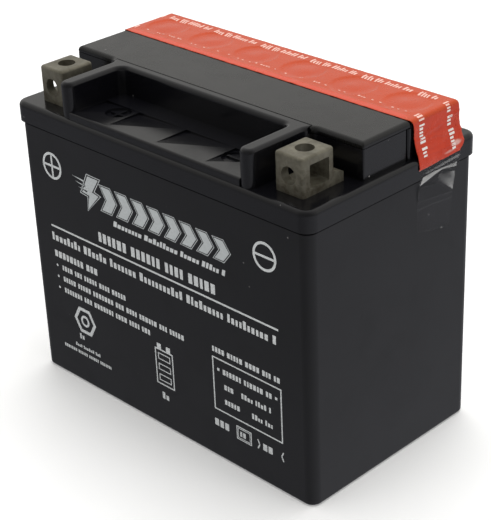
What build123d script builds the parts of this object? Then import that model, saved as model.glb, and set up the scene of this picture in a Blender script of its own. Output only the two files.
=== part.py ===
from build123d import *
import os

# Dry-charged 12 V motorcycle battery: container, lid, six cells in series, sealed top.
# Frame: origin at the centre of the base, +X along the length, +Y along the width
# (terminals on the -Y side, positive at -X), +Z up.  Millimetres.

# ---------------------------------------------------------------- driving dimensions
LENGTH = 150.0            # over the lid flange, X
WIDTH = 87.0              # over the lid flange, Y
Z_SEAM = 106.8            # container rim, where the lid is welded on
Z_LEDGE = 114.5           # top of the lid flange and floor of the terminal pockets
Z_FLOOR = 117.2           # floor of the recess between the terminals
Z_DECK = 128.0            # top of the raised deck

CASE_L, CASE_W = 147.9, 84.9
CASE_R = 4.0              # outer vertical corners of the container
CASE_WALL = 2.2
CASE_BASE = 3.0
PARTITION = 1.6
CELLS = 6
PITCH = (CASE_L - 2 * CASE_WALL + PARTITION) / CELLS
CELL_L = PITCH - PARTITION
CELL_W = CASE_W - 2 * CASE_WALL
CELL_X = [(i - 2.5) * PITCH for i in range(CELLS)]
WALL_X = [(i - 2.0) * PITCH for i in range(CELLS - 1)]

FLANGE_R = 4.7
FLANGE_EDGE = 1.9         # rounding of the flange's top edge
DECK_X = 72.0             # half length of the deck
DECK_Y0, DECK_Y1 = -13.6, 34.5
HORN_IN, HORN_OUT = 42.6, 48.8   # walls between the recess and the terminal pockets
HORN_Y = -42.2            # front end of those walls
RECESS_Y = -17.0          # back wall of the recess
DECK_EDGE = 1.6           # rounding of the deck's top edges
COVER_Y0, COVER_Y1 = -13.45, 10.3
COVER_T = 2.1
COVER_GAP = 0.45
SLOPE_Y0, SLOPE_Y1, SLOPE_DEPTH = -40.0, -25.5, 0.9
CHAMBER_Y0, CHAMBER_Y1 = -10.9, 7.6
CHAMBER_FLOOR = 118.4
PORT_Y = 22.4
PORT_R = 6.8
PORT_RIM_R = 8.7
BLADE_OFFSET, BLADE_T = 3.0, 1.6
VALVE_Y = -1.6
OUTLET_Y, OUTLET_Z = -5.4, 121.9

TERM_X = 60.2             # terminal centre, either side
TERM_Y = -28.8
TERM_L, TERM_W, TERM_H = 12.6, 15.0, 13.8
TERM_HOLE_R = 3.25        # clearance for an M6 bolt
TUNNEL_Y0, TUNNEL_Y1 = -33.0, -23.9
TUNNEL_Z0, TUNNEL_Z1 = 117.2, 125.4
FRONT_HOLE_Z = 121.0
STEM_R = 4.5

LUG_Y = 28.8              # straps and lugs stand this far either side of the middle
PLATE_Z0, PLATE_Z1 = 5.0, 84.0
PLATE_W = 72.0
POS_T, NEG_T, SEP_T = 2.0, 1.4, 0.85
STACK = POS_T + NEG_T + 2 * SEP_T
STRAP_Z0, STRAP_Z1 = 91.0, 96.0
WELD_Z = 99.0
WELD_R = 3.2

SEAL_Y0, SEAL_Y1 = 10.6, 34.4
SEAL_T = 0.3

os.makedirs("parts", exist_ok=True)

# ---------------------------------------------------------------- container
with BuildPart() as container:
    with BuildSketch():
        RectangleRounded(CASE_L, CASE_W, CASE_R)
    extrude(amount=Z_SEAM)
    fillet(container.faces().sort_by(Axis.Z)[0].edges(), radius=1.1)
    # six cell wells
    with BuildSketch(Plane.XY.offset(CASE_BASE)):
        with GridLocations(PITCH, 0, CELLS, 1):
            RectangleRounded(CELL_L, CELL_W, 1.2)
    extrude(amount=Z_SEAM, mode=Mode.SUBTRACT)
    # two rests across the floor of every cell, which the plates stand on
    with BuildSketch(Plane.XY.offset(CASE_BASE)):
        with GridLocations(PITCH, 46.0, CELLS, 2):
            Rectangle(CELL_L, 2.4)
    extrude(amount=PLATE_Z0 - CASE_BASE)
    # holes for the welds that join neighbouring cells, front and rear in turn
    for i, x in enumerate(WALL_X):
        side = 1 if i % 2 == 0 else -1
        with BuildSketch(Plane.YZ.offset(x - PARTITION)):
            with Locations((side * LUG_Y, WELD_Z)):
                Circle(WELD_R + 0.05)
        extrude(amount=2 * PARTITION, mode=Mode.SUBTRACT)
container.part.label = "container"
export_step(container.part, "parts/container.step")

# ---------------------------------------------------------------- deck outline, shared by the lid and its vent cover
with BuildSketch(Plane.XY.offset(Z_LEDGE - 1.0)) as deck_outline:
    with Locations((0, (DECK_Y0 + DECK_Y1) / 2)):
        Rectangle(2 * DECK_X, DECK_Y1 - DECK_Y0)
    with Locations((0, (HORN_Y + DECK_Y0 + 5) / 2)):
        Rectangle(2 * HORN_OUT, DECK_Y0 + 5 - HORN_Y)
    with Locations((0, (HORN_Y - 5 + RECESS_Y) / 2)):
        Rectangle(2 * HORN_IN, RECESS_Y - HORN_Y + 5, mode=Mode.SUBTRACT)
    corners = deck_outline.vertices()
    fillet([v for v in corners if abs(v.Y - HORN_Y) < 0.01], radius=2.9)
    corners = deck_outline.vertices()
    fillet([v for v in corners if abs(v.Y - RECESS_Y) < 0.01 and abs(abs(v.X) - HORN_IN) < 0.01], radius=3.2)
    corners = deck_outline.vertices()
    fillet([v for v in corners if abs(v.Y - DECK_Y0) < 0.01 and abs(abs(v.X) - HORN_OUT) < 0.01], radius=4.0)
    corners = deck_outline.vertices()
    fillet([v for v in corners if abs(v.Y - DECK_Y0) < 0.01 and abs(abs(v.X) - DECK_X) < 0.01], radius=0.6)
    corners = deck_outline.vertices()
    fillet([v for v in corners if abs(v.Y - DECK_Y1) < 0.01], radius=2.0)

with BuildPart() as deck_shape:
    add(deck_outline.sketch)
    extrude(amount=Z_DECK - Z_LEDGE + 1.0)
    fillet(deck_shape.faces().sort_by(Axis.Z)[-1].edges(), radius=DECK_EDGE)

# ---------------------------------------------------------------- lid
COVER_CUT_Z = Z_DECK - COVER_T - 0.25
with BuildPart() as lid:
    # flange
    with BuildSketch(Plane.XY.offset(Z_SEAM)):
        RectangleRounded(LENGTH, WIDTH, FLANGE_R)
    extrude(amount=Z_LEDGE - Z_SEAM)
    fillet(lid.faces().sort_by(Axis.Z)[-1].edges(), radius=FLANGE_EDGE)
    # floor of the recess, level with the front ends of its walls
    with BuildSketch(Plane.XY.offset(Z_LEDGE - 1.0)):
        with Locations((0, (HORN_Y + RECESS_Y + 2) / 2)):
            Rectangle(2 * HORN_IN + 2.0, RECESS_Y + 2 - HORN_Y)
    extrude(amount=Z_FLOOR - Z_LEDGE + 1.0)
    lip = lid.edges().filter_by(Axis.X).filter_by(lambda e: abs(e.center().Z - Z_FLOOR) < 0.01 and abs(e.center().Y - HORN_Y) < 0.01)
    fillet(lip, radius=0.9)
    # raised deck with the two walls
    add(deck_shape.part)
    # half-round rib on each end wall, beside the vent chamber
    for sx in (-1, 1):
        with BuildSketch(Plane.XY.offset(Z_LEDGE - 0.5)):
            with Locations((sx * (DECK_X - 0.5), 9.4)):
                Circle(0.95)
        extrude(amount=COVER_CUT_Z - Z_LEDGE + 0.5)
        with BuildSketch(Plane.XY.offset(Z_LEDGE)):
            with Locations((sx * DECK_X, 8.05)):
                Rectangle(1.0, 0.7)
        extrude(amount=COVER_CUT_Z - Z_LEDGE, mode=Mode.SUBTRACT)
    # seat of the vent cover
    with BuildSketch(Plane.XY.offset(COVER_CUT_Z)):
        with Locations((0, (COVER_Y0 + COVER_Y1) / 2 - 0.0)):
            Rectangle(2 * DECK_X + 4, COVER_Y1 - COVER_Y0)
    extrude(amount=10, mode=Mode.SUBTRACT)
    # the cover overhangs the two pockets' back walls
    with BuildSketch(Plane.XY.offset(COVER_CUT_Z)):
        with Locations((-61.0, COVER_Y0 - 1.0), (61.0, COVER_Y0 - 1.0)):
            Rectangle(24.0, 2.2)
    extrude(amount=10, mode=Mode.SUBTRACT)
    # vent chamber under the cover
    with BuildSketch(Plane.XY.offset(CHAMBER_FLOOR)):
        with Locations((0, (CHAMBER_Y0 + CHAMBER_Y1) / 2)):
            RectangleRounded(2 * 69.2, CHAMBER_Y1 - CHAMBER_Y0, 2.0)
    extrude(amount=10, mode=Mode.SUBTRACT)
    # welding rib round the chamber, which carries the cover
    with BuildSketch(Plane.XY.offset(COVER_CUT_Z)):
        with Locations((0, (CHAMBER_Y0 + CHAMBER_Y1) / 2)):
            RectangleRounded(2 * 70.6, CHAMBER_Y1 - CHAMBER_Y0 + 2.6, 2.6)
            RectangleRounded(2 * 69.2, CHAMBER_Y1 - CHAMBER_Y0, 2.0, mode=Mode.SUBTRACT)
    extrude(amount=0.25)
    # cavity under the flange, one compartment for each cell
    with BuildSketch(Plane.XY.offset(Z_SEAM)):
        with GridLocations(PITCH, 0, CELLS, 1):
            RectangleRounded(CELL_L, CELL_W, 1.2)
    extrude(amount=4.7, mode=Mode.SUBTRACT)
    # the same, higher, under the recess
    with BuildSketch(Plane.XY.offset(Z_SEAM)):
        for x in CELL_X[1:-1]:
            with Locations((x, -25.5)):
                Rectangle(18.0, 25.0)
    extrude(amount=6.4, mode=Mode.SUBTRACT)
    # under the vent chamber
    with BuildSketch(Plane.XY.offset(Z_SEAM)):
        for x in CELL_X:
            with Locations((x, -1.6)):
                Rectangle(CELL_L - 3.4, 17.6)
    extrude(amount=CHAMBER_FLOOR - 2.2 - Z_SEAM, mode=Mode.SUBTRACT)
    # under the filler deck
    with BuildSketch(Plane.XY.offset(Z_SEAM)):
        for x in CELL_X:
            with Locations((x, PORT_Y)):
                Rectangle(CELL_L - 2.6, 19.4)
    extrude(amount=Z_DECK - 2.6 - Z_SEAM, mode=Mode.SUBTRACT)
    # filler chimneys
    with BuildSketch(Plane.XY.offset(112.0)):
        for x in CELL_X:
            with Locations((x, PORT_Y)):
                Circle(PORT_R + 1.6)
    extrude(amount=Z_DECK - 1.0 - 112.0)
    with BuildSketch(Plane.XY.offset(110.0)):
        for x in CELL_X:
            with Locations((x, PORT_Y)):
                Circle(PORT_R)
    extrude(amount=30.0, mode=Mode.SUBTRACT)
    with BuildSketch(Plane.XY.offset(Z_DECK - 0.9)):
        for x in CELL_X:
            with Locations((x, PORT_Y)):
                Circle(PORT_RIM_R)
    extrude(amount=5.0, mode=Mode.SUBTRACT)
    # a bar across one side of every chimney, with a piercing blade on it
    with BuildSketch(Plane.XY.offset(113.0)):
        for x in CELL_X:
            with Locations((x - BLADE_OFFSET, PORT_Y)):
                Rectangle(BLADE_T, 2 * PORT_R)
    extrude(amount=4.0)
    for x in CELL_X:
        with BuildSketch(Plane.YZ.offset(x - BLADE_OFFSET - BLADE_T / 2)):
            with BuildLine():
                Polyline(
                    (PORT_Y - 3.4, 116.5), (PORT_Y + 3.4, 116.5), (PORT_Y + 3.4, 118.0),
                    (PORT_Y + 0.35, 122.1), (PORT_Y - 0.35, 122.1), (PORT_Y - 3.4, 118.0),
                    close=True,
                )
            make_face()
        extrude(amount=BLADE_T)
    # valve seats: a short tube over each cell's gas hole
    with BuildSketch(Plane.XY.offset(CHAMBER_FLOOR - 0.5)):
        for x in CELL_X:
            with Locations((x, VALVE_Y)):
                Circle(4.0)
    extrude(amount=4.6)
    with BuildSketch(Plane.XY.offset(112.0)):
        for x in CELL_X:
            with Locations((x, VALVE_Y)):
                Circle(1.5)
    extrude(amount=14.0, mode=Mode.SUBTRACT)
    # gas outlet in the end wall, behind the flame arrestor
    with BuildSketch(Plane.YZ.offset(-69.2)):
        with Locations((OUTLET_Y, OUTLET_Z)):
            Circle(1.2)
    extrude(amount=-4.0, mode=Mode.SUBTRACT)
    with BuildSketch(Plane.YZ.offset(-69.4)):
        with Locations((OUTLET_Y, OUTLET_Z)):
            Circle(3.4)
            Circle(2.9, mode=Mode.SUBTRACT)
    extrude(amount=1.8)
    # terminal holes, and the wells below them that take the O-ring and the resin
    with BuildSketch(Plane.XY.offset(104.0)):
        with Locations((-TERM_X, TERM_Y), (TERM_X, TERM_Y)):
            Circle(8.6)
    extrude(amount=8.5)
    with BuildSketch(Plane.XY.offset(103.0)):
        with Locations((-TERM_X, TERM_Y), (TERM_X, TERM_Y)):
            Circle(7.0)
    extrude(amount=9.0, mode=Mode.SUBTRACT)
    with BuildSketch(Plane.XY.offset(103.0)):
        with Locations((-TERM_X, TERM_Y), (TERM_X, TERM_Y)):
            Circle(STEM_R + 0.1)
    extrude(amount=20.0, mode=Mode.SUBTRACT)
    # recess floor: over every cell a shallow plane that falls to its left rear corner, with a small step at each cell wall
    for x0, x1 in ((-42.2, -24.1), (-23.9, 0.4), (0.6, 25.0), (25.2, 42.2)):
        for x, k in ((x0, 1.0), (x1, 0.03)):
            with BuildSketch(Plane.YZ.offset(x)):
                with BuildLine():
                    Polyline(
                        (SLOPE_Y1 + (SLOPE_Y0 - SLOPE_Y1) * k, Z_FLOOR), (SLOPE_Y1 + (SLOPE_Y0 - SLOPE_Y1) * k, Z_FLOOR + 0.6),
                        (SLOPE_Y1, Z_FLOOR + 0.6), (SLOPE_Y1, Z_FLOOR - SLOPE_DEPTH * k), close=True,
                    )
                make_face()
        loft(ruled=True, mode=Mode.SUBTRACT)
    # polarity marks: a plus and a minus in round dimples
    with BuildSketch(Plane.XY.offset(Z_FLOOR - 1.3)):
        with Locations((-30.0, -30.4), (30.0, -30.4)):
            Circle(4.9)
    extrude(amount=3.0, mode=Mode.SUBTRACT)
    with BuildSketch(Plane.XY.offset(Z_FLOOR - 1.5)):
        with Locations((-30.0, -30.4)):
            Rectangle(7.6, 1.0)
            Rectangle(1.0, 7.6)
        with Locations((30.0, -30.4)):
            Rectangle(7.6, 1.0)
    extrude(amount=0.9)
lid.part.label = "lid"
export_step(lid.part, "parts/lid.step")

# ---------------------------------------------------------------- vent cover, a flat plate let into the deck
with BuildPart() as vent_cover:
    add(deck_shape.part)
    with BuildSketch(Plane.XY.offset(Z_DECK - COVER_T)):
        with Locations((0, (COVER_Y0 + COVER_Y1) / 2)):
            Rectangle(2 * DECK_X + 10, COVER_Y1 - COVER_Y0 - 2 * COVER_GAP)
        with Locations((-66.0, COVER_Y0), (66.0, COVER_Y0)):
            Rectangle(33.3, 2.2)
    extrude(amount=10, mode=Mode.INTERSECT)
vent_cover.part.label = "vent_cover"
export_step(vent_cover.part, "parts/vent_cover.step")

# ---------------------------------------------------------------- tear-off seal, a strip that folds down over both ends
SEAL_INNER = [(75.12, 110.2), (75.12, 113.0), (72.5, 120.4), (72.3, 126.4), (72.25, 127.1), (71.85, 127.75), (71.2, 128.0)]
SEAL_OUTER = [(75.42, 110.2), (75.42, 113.1), (72.8, 120.5), (72.6, 126.4), (72.55, 127.25), (72.1, 127.95), (71.35, 128.3)]
with BuildPart() as tear_off_seal:
    with BuildSketch(Plane.XZ.offset(-SEAL_Y1)):
        with BuildLine():
            Polyline(
                *[(-x, z) for x, z in SEAL_INNER], *reversed(SEAL_INNER),
                *SEAL_OUTER, *[(-x, z) for x, z in reversed(SEAL_OUTER)],
                close=True,
            )
        make_face()
    extrude(amount=SEAL_Y1 - SEAL_Y0)
tear_off_seal.part.label = "tear_off_seal"
export_step(tear_off_seal.part, "parts/tear_off_seal.step")

# ---------------------------------------------------------------- clear tapes below the seal's ends, stuck to flange and container
CASE_X = CASE_L / 2
for name, sx in (("clear_tape_left", -1), ("clear_tape_right", 1)):
    with BuildPart() as clear_tape:
        with BuildSketch(Plane.XZ.offset(-33.2)):
            with BuildLine():
                Polyline(
                    (sx * 75.0, 109.6), (sx * 75.0, 106.8), (sx * CASE_X, 97.0), (sx * CASE_X, 84.0),
                    (sx * (CASE_X + 0.2), 84.0), (sx * (CASE_X + 0.2), 97.0), (sx * 75.2, 106.8), (sx * 75.2, 109.6),
                    close=True,
                )
            make_face()
        extrude(amount=21.4)
    clear_tape.part.label = name
    export_step(clear_tape.part, f"parts/{name}.step")

# ---------------------------------------------------------------- terminals: a nut box with a bolt hole in the top and one in the front, on a stem
for name, sx in (("positive_terminal", -1), ("negative_terminal", 1)):
    with BuildPart() as terminal:
        with BuildSketch(Plane.XY.offset(Z_LEDGE)):
            with Locations((sx * TERM_X, TERM_Y)):
                Rectangle(TERM_L, TERM_W)
        extrude(amount=TERM_H)
        fillet(terminal.edges().filter_by(Axis.Z), radius=1.2)
        fillet(terminal.faces().sort_by(Axis.Z)[-1].edges(), radius=1.1)
        # foot behind the box, its top sloping down to the rear
        with BuildSketch(Plane.YZ.offset(sx * TERM_X - TERM_L / 2)):
            with BuildLine():
                Polyline(
                    (TERM_Y, Z_LEDGE), (TERM_Y + TERM_W / 2 + 4.2, Z_LEDGE), (TERM_Y + TERM_W / 2 + 4.2, Z_LEDGE + 3.4),
                    (TERM_Y + TERM_W / 2, Z_LEDGE + 4.8), (TERM_Y, Z_LEDGE + 4.8),
                    close=True,
                )
            make_face()
        extrude(amount=TERM_L)
        # nut tunnel, through from side to side
        with BuildSketch(Plane.YZ.offset(sx * TERM_X - TERM_L)):
            with Locations(((TUNNEL_Y0 + TUNNEL_Y1) / 2, (TUNNEL_Z0 + TUNNEL_Z1) / 2)):
                RectangleRounded(TUNNEL_Y1 - TUNNEL_Y0, TUNNEL_Z1 - TUNNEL_Z0, 0.4)
        extrude(amount=2 * TERM_L, mode=Mode.SUBTRACT)
        # bolt holes: one from the top, one from the front
        with BuildSketch(Plane.XY.offset(TUNNEL_Z1 - 1.0)):
            with Locations((sx * TERM_X, TERM_Y + 0.3)):
                Circle(TERM_HOLE_R)
        extrude(amount=10.0, mode=Mode.SUBTRACT)
        with BuildSketch(Plane.XZ.offset(-TUNNEL_Y0 - 1.0)):
            with Locations((sx * TERM_X, FRONT_HOLE_Z)):
                Circle(TERM_HOLE_R)
        extrude(amount=10.0, mode=Mode.SUBTRACT)
        # stem down through the lid
        with BuildSketch(Plane.XY.offset(103.0)):
            with Locations((sx * TERM_X, TERM_Y)):
                Circle(STEM_R)
        extrude(amount=Z_LEDGE - 103.0)
    terminal.part.label = name
    export_step(terminal.part, f"parts/{name}.step")

for name, sx in (("positive", -1), ("negative", 1)):
    # rubber O-ring round the stem, under the lid
    with BuildPart() as stem_ring:
        with BuildSketch(Plane.XY.offset(110.2)):
            with Locations((sx * TERM_X, TERM_Y)):
                Circle(7.0)
                Circle(STEM_R, mode=Mode.SUBTRACT)
        extrude(amount=1.8)
    stem_ring.part.label = f"{name}_o_ring"
    export_step(stem_ring.part, f"parts/{name}_o_ring.step")
    # sealing resin below it
    with BuildPart() as resin:
        with BuildSketch(Plane.XY.offset(104.6)):
            with Locations((sx * TERM_X, TERM_Y)):
                Circle(7.0)
                Circle(STEM_R, mode=Mode.SUBTRACT)
        extrude(amount=5.6)
    resin.part.label = f"{name}_resin_seal"
    export_step(resin.part, f"parts/{name}_resin_seal.step")

# ---------------------------------------------------------------- gas side: relief valve caps and the flame arrestor
for i, x in enumerate(CELL_X):
    with BuildPart() as valve_cap:
        with BuildSketch(Plane.XY.offset(119.0)):
            with Locations((x, VALVE_Y)):
                Circle(5.4)
        extrude(amount=4.8)
        fillet(valve_cap.faces().sort_by(Axis.Z)[-1].edges(), radius=0.8)
        with BuildSketch(Plane.XY.offset(118.0)):
            with Locations((x, VALVE_Y)):
                Circle(4.05)
        extrude(amount=4.5, mode=Mode.SUBTRACT)
    valve_cap.part.label = f"relief_valve_cap_{i + 1}"
    export_step(valve_cap.part, f"parts/relief_valve_cap_{i + 1}.step")

with BuildPart() as flame_arrestor:
    with BuildSketch(Plane.YZ.offset(-69.2)):
        with Locations((OUTLET_Y, OUTLET_Z)):
            Circle(2.85)
    extrude(amount=1.6)
flame_arrestor.part.label = "flame_arrestor"
export_step(flame_arrestor.part, "parts/flame_arrestor.step")

# ---------------------------------------------------------------- six cells
# In each cell four positive plates stand between five negative plates, with a glass-mat
# separator in every gap.  The positive lugs are at the front in odd cells and at the rear
# in even ones, and the negative lugs are opposite, so each weld joins one cell's negative
# strap to the next cell's positive strap.
LUG_W = 9.0


def plate_side(cell, positive):
    front = (cell % 2 == 0) == positive
    return -1 if front else 1


for i, x in enumerate(CELL_X):
    n = i + 1
    for kind, count, thick, positive in (("positive", 4, POS_T, True), ("negative", 5, NEG_T, False)):
        side = plate_side(i, positive)
        with BuildPart() as plates:
            for j in range(count):
                px = x + (j - (count - 1) / 2) * STACK
                with BuildSketch(Plane.YZ.offset(px - thick / 2)):
                    with Locations((0, (PLATE_Z0 + PLATE_Z1) / 2)):
                        RectangleRounded(PLATE_W, PLATE_Z1 - PLATE_Z0, 1.0)
                    with Locations((side * LUG_Y, (PLATE_Z1 - 2.0 + STRAP_Z0) / 2)):
                        Rectangle(LUG_W, STRAP_Z0 - PLATE_Z1 + 2.0)
                extrude(amount=thick)
        plates.part.label = f"cell_{n}_{kind}_plates"
        export_step(plates.part, f"parts/cell_{n}_{kind}_plates.step")

        with BuildPart() as strap:
            half = (count - 1) / 2 * STACK + thick / 2 + 0.3
            with BuildSketch(Plane.XY.offset(STRAP_Z0)):
                with Locations((x, side * LUG_Y)):
                    Rectangle(2 * half, LUG_W + 2.0)
            extrude(amount=STRAP_Z1 - STRAP_Z0)
            # the flag stands against the partition towards the cell that this strap joins
            toward = -1 if positive else 1
            last = (i == 0 and positive) or (i == CELLS - 1 and not positive)
            if not last:
                with BuildSketch(Plane.XY.offset(STRAP_Z0)):
                    with Locations((x + toward * (CELL_L / 2 - 1.9), side * LUG_Y)):
                        Rectangle(3.8, LUG_W + 2.0)
                extrude(amount=103.4 - STRAP_Z0)
            else:
                with BuildSketch(Plane.XY.offset(STRAP_Z1)):
                    with Locations(((-1 if positive else 1) * TERM_X, TERM_Y)):
                        Circle(STEM_R)
                extrude(amount=103.0 - STRAP_Z1)
        strap.part.label = f"cell_{n}_{kind}_strap"
        export_step(strap.part, f"parts/cell_{n}_{kind}_strap.step")

    with BuildPart() as separators:
        for j in range(8):
            px = x + (j - 3.5) * STACK / 2 + (NEG_T - POS_T) / 4 * (1 if j % 2 == 0 else -1)
            with BuildSketch(Plane.YZ.offset(px - SEP_T / 2)):
                with Locations((0, (PLATE_Z0 + 87.0) / 2)):
                    Rectangle(78.0, 87.0 - PLATE_Z0)
            extrude(amount=SEP_T)
    separators.part.label = f"cell_{n}_separators"
    export_step(separators.part, f"parts/cell_{n}_separators.step")

# welds through the partitions
with BuildPart() as intercell_welds:
    for i, x in enumerate(WALL_X):
        side = 1 if i % 2 == 0 else -1
        with BuildSketch(Plane.YZ.offset(x - PARTITION / 2)):
            with Locations((side * LUG_Y, WELD_Z)):
                Circle(WELD_R)
        extrude(amount=PARTITION)
intercell_welds.part.label = "intercell_welds"
export_step(intercell_welds.part, "parts/intercell_welds.step")
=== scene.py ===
import bpy, bmesh, math, random
from mathutils import Matrix, Vector, noise


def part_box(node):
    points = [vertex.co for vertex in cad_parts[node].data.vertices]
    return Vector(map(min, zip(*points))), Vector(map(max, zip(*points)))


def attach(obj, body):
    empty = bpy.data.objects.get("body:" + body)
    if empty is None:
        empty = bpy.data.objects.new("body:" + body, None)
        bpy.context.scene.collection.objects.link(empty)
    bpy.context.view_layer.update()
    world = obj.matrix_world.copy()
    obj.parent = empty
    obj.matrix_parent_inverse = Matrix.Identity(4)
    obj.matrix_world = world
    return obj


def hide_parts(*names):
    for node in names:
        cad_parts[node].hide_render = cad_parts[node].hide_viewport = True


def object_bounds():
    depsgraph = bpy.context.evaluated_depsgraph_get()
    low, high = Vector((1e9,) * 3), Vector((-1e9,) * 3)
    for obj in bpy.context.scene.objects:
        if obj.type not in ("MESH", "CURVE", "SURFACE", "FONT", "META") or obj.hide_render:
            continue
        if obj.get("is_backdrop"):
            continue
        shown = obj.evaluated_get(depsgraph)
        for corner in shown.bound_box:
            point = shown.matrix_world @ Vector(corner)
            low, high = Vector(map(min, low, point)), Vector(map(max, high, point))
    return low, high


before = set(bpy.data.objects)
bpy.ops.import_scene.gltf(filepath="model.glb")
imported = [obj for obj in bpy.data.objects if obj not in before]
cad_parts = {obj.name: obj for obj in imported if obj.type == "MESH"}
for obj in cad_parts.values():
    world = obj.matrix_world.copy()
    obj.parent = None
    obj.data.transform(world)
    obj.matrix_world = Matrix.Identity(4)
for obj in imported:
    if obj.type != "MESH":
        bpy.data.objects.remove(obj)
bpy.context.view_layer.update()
MM = 0.001
scene = bpy.context.scene
scene.view_settings.view_transform = "Standard"

# ------------------------------------------------------------------ places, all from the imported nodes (mm)
def mmbox(node):
    lo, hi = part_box(node)
    return [v / MM for v in lo], [v / MM for v in hi]


case_lo, case_hi = mmbox("container")
lid_lo, lid_hi = mmbox("lid")
seal_lo, seal_hi = mmbox("tear_off_seal")
tape_lo, tape_hi = mmbox("clear_tape_right")
FRONT_Y = case_lo[1]
DECK_Z = lid_hi[2]
PORTS = []
for i in range(6):
    lo, hi = mmbox(f"relief_valve_cap_{i + 1}")
    PORTS.append(((lo[0] + hi[0]) / 2, (seal_lo[1] + seal_hi[1]) / 2 - 0.1))


# ------------------------------------------------------------------ material helpers
class Mat:
    def __init__(self, name, color, rough, **sockets):
        self.mat = bpy.data.materials.new(name)
        self.mat.use_nodes = True
        self.nt = self.mat.node_tree
        self.b = self.nt.nodes["Principled BSDF"]
        self.b.inputs["Base Color"].default_value = (*color, 1)
        self.b.inputs["Roughness"].default_value = rough
        for k, v in sockets.items():
            self.b.inputs[k.replace("_", " ")].default_value = v
        self.mat.diffuse_color = (*color, 1)
        self._co = None

    def node(self, kind, **props):
        n = self.nt.nodes.new(kind)
        for k, v in props.items():
            setattr(n, k, v)
        return n

    def link(self, a, b):
        self.nt.links.new(a, b)

    @property
    def co(self):
        if self._co is None:
            self._co = self.node("ShaderNodeTexCoord").outputs["Object"]
        return self._co

    def stretched(self, sx, sy, sz):
        m = self.node("ShaderNodeMapping")
        m.inputs["Scale"].default_value = (sx, sy, sz)
        self.link(self.co, m.inputs["Vector"])
        return m.outputs["Vector"]

    def noise(self, scale, detail=4.0, rough=0.5, co=None, distortion=0.0):
        n = self.node("ShaderNodeTexNoise")
        n.inputs["Scale"].default_value = scale
        n.inputs["Detail"].default_value = detail
        n.inputs["Roughness"].default_value = rough
        n.inputs["Distortion"].default_value = distortion
        self.link(co or self.co, n.inputs["Vector"])
        return n.outputs["Fac"]

    def voronoi(self, scale, feature="F1", out="Distance", co=None, rand=1.0):
        n = self.node("ShaderNodeTexVoronoi", feature=feature)
        n.inputs["Scale"].default_value = scale
        n.inputs["Randomness"].default_value = rand
        self.link(co or self.co, n.inputs["Vector"])
        return n.outputs[out]

    def attr(self, name):
        n = self.node("ShaderNodeAttribute", attribute_name=name)
        return n.outputs["Fac"]

    def ramp(self, fac, a, b, lo=0.0, hi=1.0, smooth=True):
        n = self.node("ShaderNodeMapRange")
        if smooth:
            n.interpolation_type = "SMOOTHSTEP"
        n.inputs["From Min"].default_value = a
        n.inputs["From Max"].default_value = b
        n.inputs["To Min"].default_value = lo
        n.inputs["To Max"].default_value = hi
        self.link(fac, n.inputs["Value"])
        return n.outputs["Result"]

    def math(self, op, a, b=None, c=None):
        n = self.node("ShaderNodeMath", operation=op)
        for i, x in enumerate((a, b, c)):
            if x is None:
                continue
            if isinstance(x, (int, float)):
                n.inputs[i].default_value = x
            else:
                self.link(x, n.inputs[i])
        return n.outputs[0]

    def mix(self, fac, a, b):
        n = self.node("ShaderNodeMix", data_type="RGBA")
        if isinstance(fac, (int, float)):
            n.inputs["Factor"].default_value = fac
        else:
            self.link(fac, n.inputs["Factor"])
        for x, s in ((a, 6), (b, 7)):
            if isinstance(x, tuple):
                n.inputs[s].default_value = (*x, 1)
            else:
                self.link(x, n.inputs[s])
        return n.outputs[2]

    def color(self, out):
        self.link(out, self.b.inputs["Base Color"])

    def rough(self, out):
        self.link(out, self.b.inputs["Roughness"])

    def bump(self, *layers):
        """layers of (height, distance in metres)"""
        normal = None
        for height, dist in layers:
            n = self.node("ShaderNodeBump")
            n.inputs["Strength"].default_value = 1.0
            n.inputs["Distance"].default_value = dist
            self.link(height, n.inputs["Height"])
            if normal is not None:
                self.link(normal, n.inputs["Normal"])
            normal = n.outputs["Normal"]
        self.link(normal, self.b.inputs["Normal"])


def xyz(m):
    n = m.node("ShaderNodeSeparateXYZ")
    m.link(m.co, n.inputs[0])
    return n.outputs


# ------------------------------------------------------------------ materials
def plastic(name, base, rough, spec, grain, dust, coat=0.0, seam=None):
    m = Mat(name, base, rough, Specular_IOR_Level=spec, Coat_Weight=coat, Coat_Roughness=0.12)
    broad = m.noise(18, 3, 0.55)
    fine = m.noise(2600, 2, 0.5)
    mould = m.noise(260, 3, 0.6)
    dark = tuple(c * 0.82 for c in base)
    light = tuple(c * 1.22 for c in base)
    tone = m.mix(m.ramp(broad, 0.3, 0.7), dark, light)
    # settled dust: sparse fine specks
    cell = m.voronoi(430, out="Distance")
    pick = m.node("ShaderNodeTexVoronoi", feature="F1")
    pick.inputs["Scale"].default_value = 430
    m.link(m.co, pick.inputs["Vector"])
    sep = m.node("ShaderNodeSeparateColor")
    m.link(pick.outputs["Color"], sep.inputs[0])
    rare = m.ramp(sep.outputs[0], 0.985, 0.99)
    speck = m.math("MULTIPLY", m.ramp(cell, 0.16, 0.08), rare)
    speck = m.math("MULTIPLY", speck, dust)
    tone = m.mix(speck, tone, (0.35, 0.34, 0.33))
    if seam:
        # painted shade: a dark line just under the lid's flange, standing in for the shadow the flange casts on the
        # joint, with the specular turned down there too
        line = m.ramp(xyz(m)[2], seam - 0.00125, seam - 0.00090)
        tone = m.mix(line, tone, (0.001, 0.001, 0.001))
        m.link(m.math("MULTIPLY", m.math("SUBTRACT", 1.0, line), spec), m.b.inputs["Specular IOR Level"])
    m.color(tone)
    smudge = m.noise(55, 4, 0.6, distortion=0.6)
    r = m.ramp(smudge, 0.35, 0.75, rough * 0.86, rough * 1.2)
    r = m.math("ADD", r, m.math("MULTIPLY", m.math("SUBTRACT", fine, 0.5), 0.06))
    m.rough(r)
    m.bump((fine, grain), (mould, grain * 0.6), (m.noise(30, 2, 0.5), 0.00008))
    return m.mat


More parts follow.
